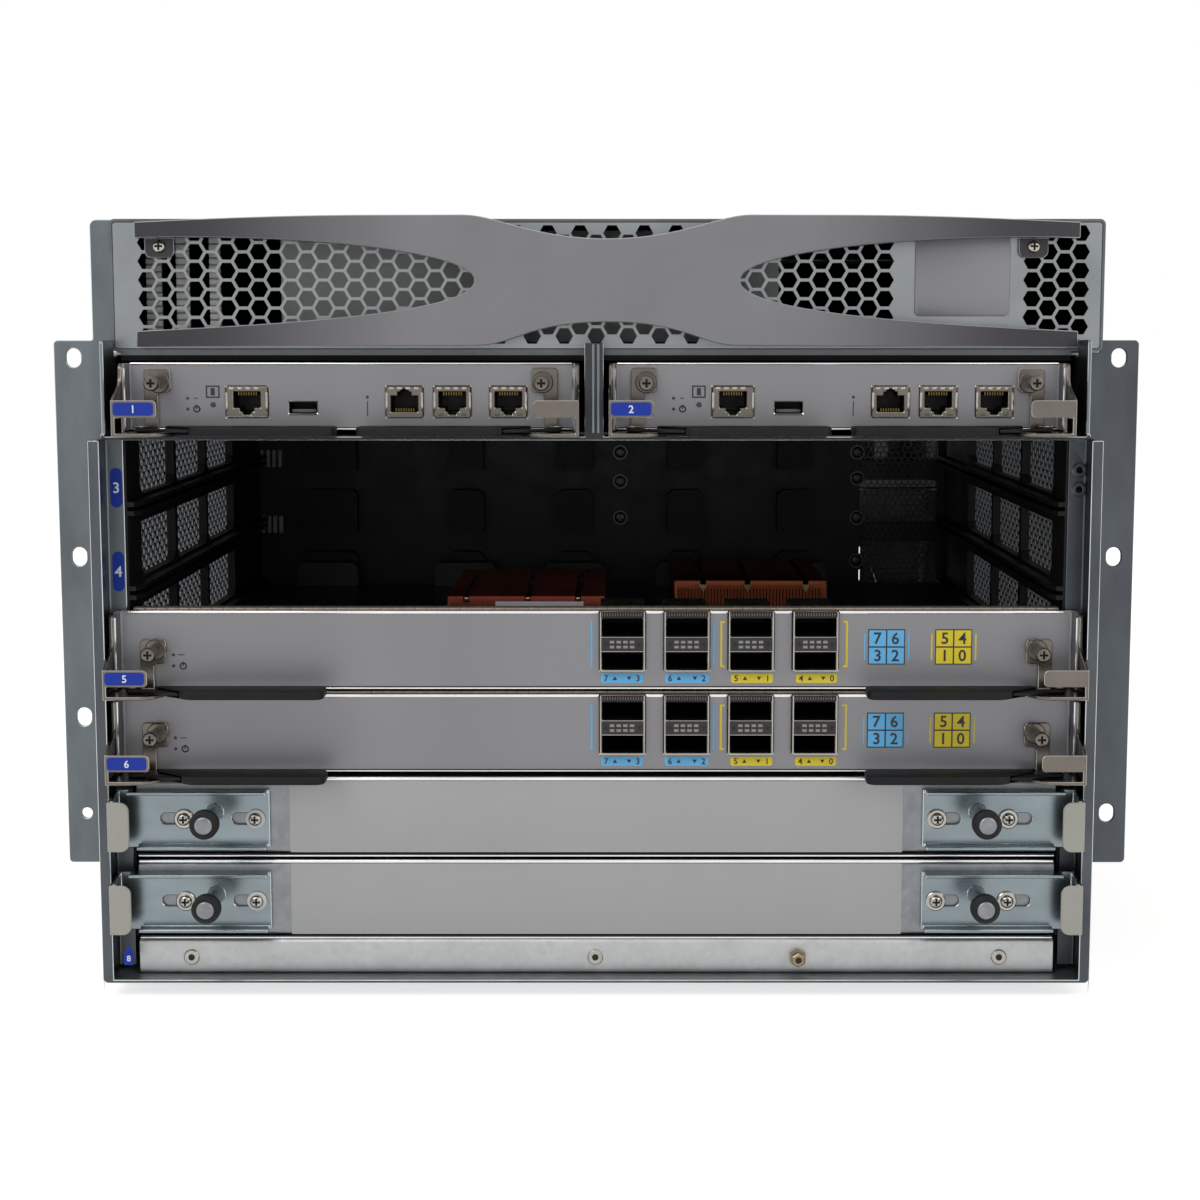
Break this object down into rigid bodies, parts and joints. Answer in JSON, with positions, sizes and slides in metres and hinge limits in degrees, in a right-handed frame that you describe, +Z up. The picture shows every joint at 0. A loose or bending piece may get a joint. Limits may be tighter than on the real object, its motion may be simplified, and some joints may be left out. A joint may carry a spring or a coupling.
{
  "type": "modular chassis switch",
  "caption": "Rack-mounted network switch cage with plug-in control and core blades, blank panels, open slots, and rear power supplies and fan trays behind a honeycomb-vented hood.",
  "frame": {"origin": "on the underside of the floor, midway across the cage and midway through its depth", "axes": "+X across the front to the viewer's right, +Y from the front into the rack, +Z up"},
  "size_m": [0.4826, 0.6456, 0.337],
  "materials": {
    "cage_zinc": "bluish zinc-plated steel sheet, satin",
    "galvanised": "galvanised steel sheet, faintly mottled",
    "nickel_steel": "nickel-plated steel, satin",
    "bright_screws": "nickel-plated steel, bright",
    "faceplate_grey": "fine grey paint, satin",
    "lever_black": "black moulded grip on a steel plate",
    "bezel_grey": "warm grey, fine texture",
    "guide_black": "black moulded frame",
    "circuit_board": "dark laminate, lacquered",
    "port_black": "black moulded body",
    "heat_sink": "reddish-brown anodised fins",
    "module_steel": "zinc-plated steel sheet, satin",
    "rotor_black": "black moulded rotor"
  },
  "bodies": {
    "chassis": {"chassis_tub": "cage_zinc", "top_cover": "cage_zinc", "vent_grille": "cage_zinc", "front_bezel": "bezel_grey", "bezel_screws": "bright_screws", "rack_bracket_left": "cage_zinc", "rack_bracket_right": "cage_zinc", "slot_shelf": "cage_zinc", "front_rail_left": "cage_zinc", "front_rail_right": "cage_zinc", "bottom_sill": "galvanised", "sill_inserts": "bright_screws", "card_guide_left": "guide_black", "card_guide_right": "guide_black", "midplane": "circuit_board", "midplane_connectors": "port_black"},
    "control_blade_1": {"control_blade_1_faceplate": "faceplate_grey", "control_blade_1_board": "circuit_board", "control_blade_1_jacks": "port_black", "control_blade_1_brackets": "nickel_steel", "control_blade_1_screws": "bright_screws"},
    "control_blade_1_lever_left": {"control_blade_1_lever_left": "lever_black"},
    "control_blade_1_lever_right": {"control_blade_1_lever_right": "lever_black"},
    "control_blade_2": {"control_blade_2_faceplate": "faceplate_grey", "control_blade_2_board": "circuit_board", "control_blade_2_jacks": "port_black", "control_blade_2_brackets": "nickel_steel", "control_blade_2_screws": "bright_screws"},
    "control_blade_2_lever_left": {"control_blade_2_lever_left": "lever_black"},
    "control_blade_2_lever_right": {"control_blade_2_lever_right": "lever_black"},
    "core_blade_5": {"core_blade_5_faceplate": "faceplate_grey", "core_blade_5_board": "circuit_board", "core_blade_5_cages": "nickel_steel", "core_blade_5_heatsinks": "heat_sink", "core_blade_5_brackets": "nickel_steel", "core_blade_5_screws": "bright_screws"},
    "core_blade_5_lever_left": {"core_blade_5_lever_left": "lever_black"},
    "core_blade_5_lever_right": {"core_blade_5_lever_right": "lever_black"},
    "core_blade_6": {"core_blade_6_faceplate": "faceplate_grey", "core_blade_6_board": "circuit_board", "core_blade_6_cages": "nickel_steel", "core_blade_6_heatsinks": "heat_sink", "core_blade_6_brackets": "nickel_steel", "core_blade_6_screws": "bright_screws"},
    "core_blade_6_lever_left": {"core_blade_6_lever_left": "lever_black"},
    "core_blade_6_lever_right": {"core_blade_6_lever_right": "lever_black"},
    "filler_panel_7": {"filler_panel_7": "galvanised", "filler_panel_7_guide_screws": "bright_screws"},
    "filler_panel_7_latch_left": {"filler_panel_7_latch_left": "nickel_steel"},
    "filler_panel_7_latch_right": {"filler_panel_7_latch_right": "nickel_steel"},
    "filler_panel_8": {"filler_panel_8": "galvanised", "filler_panel_8_guide_screws": "bright_screws"},
    "filler_panel_8_latch_left": {"filler_panel_8_latch_left": "nickel_steel"},
    "filler_panel_8_latch_right": {"filler_panel_8_latch_right": "nickel_steel"},
    "power_supply_left": {"power_supply_left": "module_steel"},
    "power_supply_right": {"power_supply_right": "module_steel"},
    "fan_tray_left": {"fan_tray_left": "module_steel"},
    "fan_rotor_left": {"fan_rotor_left": "rotor_black"},
    "fan_tray_right": {"fan_tray_right": "module_steel"},
    "fan_rotor_right": {"fan_rotor_right": "rotor_black"}
  },
  "joints": [
    {"name": "control_blade_1_slide", "type": "slide", "parent": "chassis", "child": "control_blade_1", "axis": [0, -1, 0], "range_m": [0, 0.38]},
    {"name": "control_blade_1_lever_left_hinge", "type": "hinge", "parent": "control_blade_1", "child": "control_blade_1_lever_left", "pos_m": [-0.1961, -0.3, 0.244], "axis": [0, 0, -1], "range_deg": [0, 60]},
    {"name": "control_blade_1_lever_right_hinge", "type": "hinge", "parent": "control_blade_1", "child": "control_blade_1_lever_right", "pos_m": [-0.0175, -0.3, 0.244], "axis": [0, 0, 1], "range_deg": [0, 60]},
    {"name": "control_blade_2_slide", "type": "slide", "parent": "chassis", "child": "control_blade_2", "axis": [0, -1, 0], "range_m": [0, 0.38]},
    {"name": "control_blade_2_lever_left_hinge", "type": "hinge", "parent": "control_blade_2", "child": "control_blade_2_lever_left", "pos_m": [0.0162, -0.3, 0.244], "axis": [0, 0, -1], "range_deg": [0, 60]},
    {"name": "control_blade_2_lever_right_hinge", "type": "hinge", "parent": "control_blade_2", "child": "control_blade_2_lever_right", "pos_m": [0.1948, -0.3, 0.244], "axis": [0, 0, 1], "range_deg": [0, 60]},
    {"name": "core_blade_5_slide", "type": "slide", "parent": "chassis", "child": "core_blade_5", "axis": [0, -1, 0], "range_m": [0, 0.38]},
    {"name": "core_blade_5_lever_left_hinge", "type": "hinge", "parent": "core_blade_5", "child": "core_blade_5_lever_left", "pos_m": [-0.203, -0.3, 0.1301], "axis": [0, 0, -1], "range_deg": [0, 60]},
    {"name": "core_blade_5_lever_right_hinge", "type": "hinge", "parent": "core_blade_5", "child": "core_blade_5_lever_right", "pos_m": [0.203, -0.3, 0.1301], "axis": [0, 0, 1], "range_deg": [0, 60]},
    {"name": "core_blade_6_slide", "type": "slide", "parent": "chassis", "child": "core_blade_6", "axis": [0, -1, 0], "range_m": [0, 0.38]},
    {"name": "core_blade_6_lever_left_hinge", "type": "hinge", "parent": "core_blade_6", "child": "core_blade_6_lever_left", "pos_m": [-0.203, -0.3, 0.0927], "axis": [0, 0, -1], "range_deg": [0, 60]},
    {"name": "core_blade_6_lever_right_hinge", "type": "hinge", "parent": "core_blade_6", "child": "core_blade_6_lever_right", "pos_m": [0.203, -0.3, 0.0927], "axis": [0, 0, 1], "range_deg": [0, 60]},
    {"name": "filler_panel_7_slide", "type": "slide", "parent": "chassis", "child": "filler_panel_7", "axis": [0, -1, 0], "range_m": [0, 0.13]},
    {"name": "filler_panel_7_latch_left_slide", "type": "slide", "parent": "filler_panel_7", "child": "filler_panel_7_latch_left", "axis": [1, 0, 0], "range_m": [0, 0.008]},
    {"name": "filler_panel_7_latch_right_slide", "type": "slide", "parent": "filler_panel_7", "child": "filler_panel_7_latch_right", "axis": [-1, 0, 0], "range_m": [0, 0.008]},
    {"name": "filler_panel_8_slide", "type": "slide", "parent": "chassis", "child": "filler_panel_8", "axis": [0, -1, 0], "range_m": [0, 0.13]},
    {"name": "filler_panel_8_latch_left_slide", "type": "slide", "parent": "filler_panel_8", "child": "filler_panel_8_latch_left", "axis": [1, 0, 0], "range_m": [0, 0.008]},
    {"name": "filler_panel_8_latch_right_slide", "type": "slide", "parent": "filler_panel_8", "child": "filler_panel_8_latch_right", "axis": [-1, 0, 0], "range_m": [0, 0.008]},
    {"name": "power_supply_left_slide", "type": "slide", "parent": "chassis", "child": "power_supply_left", "axis": [0, 1, 0], "range_m": [0, 0.24]},
    {"name": "power_supply_right_slide", "type": "slide", "parent": "chassis", "child": "power_supply_right", "axis": [0, 1, 0], "range_m": [0, 0.24]},
    {"name": "fan_tray_left_slide", "type": "slide", "parent": "chassis", "child": "fan_tray_left", "axis": [0, 1, 0], "range_m": [0, 0.12]},
    {"name": "fan_rotor_left_spin", "type": "hinge", "parent": "fan_tray_left", "child": "fan_rotor_left", "pos_m": [-0.10733, 0.262, 0.0954], "axis": [0, 1, 0], "continuous": true},
    {"name": "fan_tray_right_slide", "type": "slide", "parent": "chassis", "child": "fan_tray_right", "axis": [0, 1, 0], "range_m": [0, 0.12]},
    {"name": "fan_rotor_right_spin", "type": "hinge", "parent": "fan_tray_right", "child": "fan_rotor_right", "pos_m": [0.10733, 0.262, 0.0954], "axis": [0, 1, 0], "continuous": true}
  ]
}
